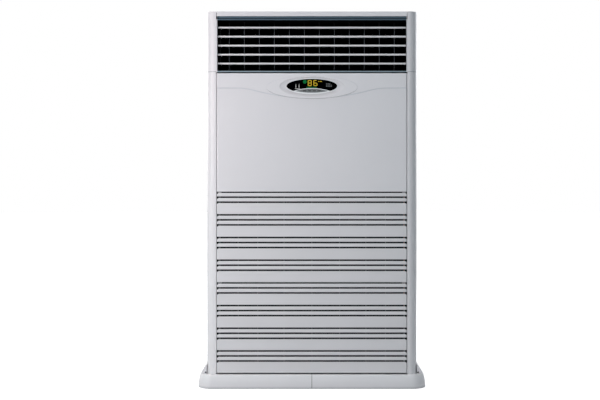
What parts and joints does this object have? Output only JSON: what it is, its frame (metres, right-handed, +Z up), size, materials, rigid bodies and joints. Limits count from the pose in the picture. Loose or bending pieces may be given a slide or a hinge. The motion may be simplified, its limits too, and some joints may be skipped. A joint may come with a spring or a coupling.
{
  "type": "floor standing air conditioner",
  "caption": "Tall floor standing air conditioner: slotted tilting intake panels, oval display, and a wide outlet with louvres and vanes over a flared base.",
  "frame": {"origin": "on the floor under the middle of the bounding box", "axes": "+Z up, the front looks along -Y, +X is to the right seen from the front"},
  "size_m": [1.142, 0.495, 1.88],
  "materials": {
    "white_steel": "satin",
    "white_plastic": "satin",
    "louvre_plastic": "satin",
    "dark_plastic": "matte",
    "galvanised_steel": "satin",
    "zinc_steel": "satin",
    "motor_paint": "satin",
    "silver_trim": "satin",
    "lens_black": "gloss",
    "board_green": "satin",
    "button_grey": "satin",
    "filter_nylon": "matte",
    "coil_aluminium": "satin",
    "copper": "satin",
    "gland_nylon": "matte"
  },
  "bodies": {
    "cabinet": {"back_panel": "white_steel", "base_pan": "galvanised_steel", "blower_motor": "motor_paint", "blower_scrolls": "galvanised_steel", "cable_gland": "gland_nylon", "casing_screws": "zinc_steel", "control_box": "galvanised_steel", "display_bezel": "silver_trim", "display_board": "board_green", "display_lens": "lens_black", "drain_pan": "galvanised_steel", "evaporator": "coil_aluminium", "frame": "galvanised_steel", "front_panel": "white_steel", "grille_catches": "white_plastic", "levelling_feet": "zinc_steel", "outlet_frame": "dark_plastic", "pillar_lower_left": "white_plastic", "pillar_lower_right": "white_plastic", "pillar_upper_left": "white_plastic", "pillar_upper_right": "white_plastic", "refrigerant_pipes": "copper", "service_plate": "galvanised_steel", "service_surround": "galvanised_steel", "side_panel_left": "white_steel", "side_panel_right": "white_steel", "skirt_front_left": "white_plastic", "skirt_front_right": "white_plastic", "skirt_side_left": "white_plastic", "skirt_side_right": "white_plastic", "swing_motor": "dark_plastic", "top_cover": "white_steel"},
    "intake_upper": {"intake_grille_upper": "white_plastic", "filter_upper": "filter_nylon"},
    "intake_lower": {"intake_grille_lower": "white_plastic", "filter_lower": "filter_nylon"},
    "louvre_1": {"louvre_1": "louvre_plastic"},
    "louvre_2": {"louvre_2": "louvre_plastic"},
    "louvre_3": {"louvre_3": "louvre_plastic"},
    "louvre_4": {"louvre_4": "louvre_plastic"},
    "louvre_5": {"louvre_5": "louvre_plastic"},
    "louvre_link": {"louvre_link": "dark_plastic"},
    "vane_1": {"vane_1": "dark_plastic"},
    "vane_2": {"vane_2": "dark_plastic"},
    "vane_3": {"vane_3": "dark_plastic"},
    "vane_4": {"vane_4": "dark_plastic"},
    "vane_5": {"vane_5": "dark_plastic"},
    "vane_6": {"vane_6": "dark_plastic"},
    "vane_7": {"vane_7": "dark_plastic"},
    "vane_8": {"vane_8": "dark_plastic"},
    "vane_9": {"vane_9": "dark_plastic"},
    "vane_10": {"vane_10": "dark_plastic"},
    "vane_11": {"vane_11": "dark_plastic"},
    "vane_12": {"vane_12": "dark_plastic"},
    "vane_link": {"vane_link": "dark_plastic"},
    "blower": {"blower_wheels": "galvanised_steel", "blower_shaft": "zinc_steel"},
    "button_1": {"button_1": "button_grey"},
    "button_2": {"button_2": "button_grey"},
    "button_3": {"button_3": "button_grey"},
    "button_4": {"button_4": "button_grey"}
  },
  "joints": [
    {"name": "intake_upper_tilt", "type": "hinge", "parent": "cabinet", "child": "intake_upper", "pos_m": [0, -0.2205, 0.5399], "axis": [1, 0, 0], "range_deg": [0, 35]},
    {"name": "intake_lower_tilt", "type": "hinge", "parent": "cabinet", "child": "intake_lower", "pos_m": [0, -0.2205, 0.0879], "axis": [1, 0, 0], "range_deg": [0, 35]},
    {"name": "louvre_1_tilt", "type": "hinge", "parent": "cabinet", "child": "louvre_1", "pos_m": [0, -0.1925, 1.6213], "axis": [1, 0, 0], "range_deg": [-25, 25]},
    {"name": "louvre_2_tilt", "type": "hinge", "parent": "cabinet", "child": "louvre_2", "pos_m": [0, -0.1925, 1.6664], "axis": [1, 0, 0], "range_deg": [-25, 25]},
    {"name": "louvre_3_tilt", "type": "hinge", "parent": "cabinet", "child": "louvre_3", "pos_m": [0, -0.1925, 1.7115], "axis": [1, 0, 0], "range_deg": [-25, 25]},
    {"name": "louvre_4_tilt", "type": "hinge", "parent": "cabinet", "child": "louvre_4", "pos_m": [0, -0.1925, 1.7566], "axis": [1, 0, 0], "range_deg": [-25, 25]},
    {"name": "louvre_5_tilt", "type": "hinge", "parent": "cabinet", "child": "louvre_5", "pos_m": [0, -0.1925, 1.8017], "axis": [1, 0, 0], "range_deg": [-25, 25]},
    {"name": "louvre_link_turn", "type": "hinge", "parent": "louvre_1", "child": "louvre_link", "pos_m": [-0.4585, -0.1585, 1.6213], "axis": [1, 0, 0], "range_deg": [-25, 25]},
    {"name": "vane_1_swing", "type": "hinge", "parent": "cabinet", "child": "vane_1", "pos_m": [-0.4165, -0.1325, 1.7115], "axis": [0, 0, 1], "range_deg": [-30, 30]},
    {"name": "vane_2_swing", "type": "hinge", "parent": "cabinet", "child": "vane_2", "pos_m": [-0.34077, -0.1325, 1.7115], "axis": [0, 0, 1], "range_deg": [-30, 30]},
    {"name": "vane_3_swing", "type": "hinge", "parent": "cabinet", "child": "vane_3", "pos_m": [-0.26504, -0.1325, 1.7115], "axis": [0, 0, 1], "range_deg": [-30, 30]},
    {"name": "vane_4_swing", "type": "hinge", "parent": "cabinet", "child": "vane_4", "pos_m": [-0.18932, -0.1325, 1.7115], "axis": [0, 0, 1], "range_deg": [-30, 30]},
    {"name": "vane_5_swing", "type": "hinge", "parent": "cabinet", "child": "vane_5", "pos_m": [-0.11359, -0.1325, 1.7115], "axis": [0, 0, 1], "range_deg": [-30, 30]},
    {"name": "vane_6_swing", "type": "hinge", "parent": "cabinet", "child": "vane_6", "pos_m": [-0.03786, -0.1325, 1.7115], "axis": [0, 0, 1], "range_deg": [-30, 30]},
    {"name": "vane_7_swing", "type": "hinge", "parent": "cabinet", "child": "vane_7", "pos_m": [0.03786, -0.1325, 1.7115], "axis": [0, 0, 1], "range_deg": [-30, 30]},
    {"name": "vane_8_swing", "type": "hinge", "parent": "cabinet", "child": "vane_8", "pos_m": [0.11359, -0.1325, 1.7115], "axis": [0, 0, 1], "range_deg": [-30, 30]},
    {"name": "vane_9_swing", "type": "hinge", "parent": "cabinet", "child": "vane_9", "pos_m": [0.18932, -0.1325, 1.7115], "axis": [0, 0, 1], "range_deg": [-30, 30]},
    {"name": "vane_10_swing", "type": "hinge", "parent": "cabinet", "child": "vane_10", "pos_m": [0.26504, -0.1325, 1.7115], "axis": [0, 0, 1], "range_deg": [-30, 30]},
    {"name": "vane_11_swing", "type": "hinge", "parent": "cabinet", "child": "vane_11", "pos_m": [0.34077, -0.1325, 1.7115], "axis": [0, 0, 1], "range_deg": [-30, 30]},
    {"name": "vane_12_swing", "type": "hinge", "parent": "cabinet", "child": "vane_12", "pos_m": [0.4165, -0.1325, 1.7115], "axis": [0, 0, 1], "range_deg": [-30, 30]},
    {"name": "vane_link_turn", "type": "hinge", "parent": "vane_1", "child": "vane_link", "pos_m": [-0.4165, -0.1135, 1.592], "axis": [0, 0, 1], "range_deg": [-30, 30]},
    {"name": "blower_spin", "type": "hinge", "parent": "cabinet", "child": "blower", "pos_m": [0, 0.02, 0.7], "axis": [1, 0, 0], "continuous": true},
    {"name": "button_1_press", "type": "slide", "parent": "cabinet", "child": "button_1", "axis": [0, 1, 0], "range_m": [0, 0.001], "stiffness_N_per_m": 600},
    {"name": "button_2_press", "type": "slide", "parent": "cabinet", "child": "button_2", "axis": [0, 1, 0], "range_m": [0, 0.001], "stiffness_N_per_m": 600},
    {"name": "button_3_press", "type": "slide", "parent": "cabinet", "child": "button_3", "axis": [0, 1, 0], "range_m": [0, 0.001], "stiffness_N_per_m": 600},
    {"name": "button_4_press", "type": "slide", "parent": "cabinet", "child": "button_4", "axis": [0, 1, 0], "range_m": [0, 0.001], "stiffness_N_per_m": 600}
  ],
  "couplings": [
    {"joint": "louvre_2_tilt", "follows": "louvre_1_tilt", "ratio": 1},
    {"joint": "louvre_3_tilt", "follows": "louvre_1_tilt", "ratio": 1},
    {"joint": "louvre_4_tilt", "follows": "louvre_1_tilt", "ratio": 1},
    {"joint": "louvre_5_tilt", "follows": "louvre_1_tilt", "ratio": 1},
    {"joint": "louvre_link_turn", "follows": "louvre_1_tilt", "ratio": -1},
    {"joint": "vane_2_swing", "follows": "vane_1_swing", "ratio": 1},
    {"joint": "vane_3_swing", "follows": "vane_1_swing", "ratio": 1},
    {"joint": "vane_4_swing", "follows": "vane_1_swing", "ratio": 1},
    {"joint": "vane_5_swing", "follows": "vane_1_swing", "ratio": 1},
    {"joint": "vane_6_swing", "follows": "vane_1_swing", "ratio": 1},
    {"joint": "vane_7_swing", "follows": "vane_1_swing", "ratio": 1},
    {"joint": "vane_8_swing", "follows": "vane_1_swing", "ratio": 1},
    {"joint": "vane_9_swing", "follows": "vane_1_swing", "ratio": 1},
    {"joint": "vane_10_swing", "follows": "vane_1_swing", "ratio": 1},
    {"joint": "vane_11_swing", "follows": "vane_1_swing", "ratio": 1},
    {"joint": "vane_12_swing", "follows": "vane_1_swing", "ratio": 1},
    {"joint": "vane_link_turn", "follows": "vane_1_swing", "ratio": -1}
  ]
}
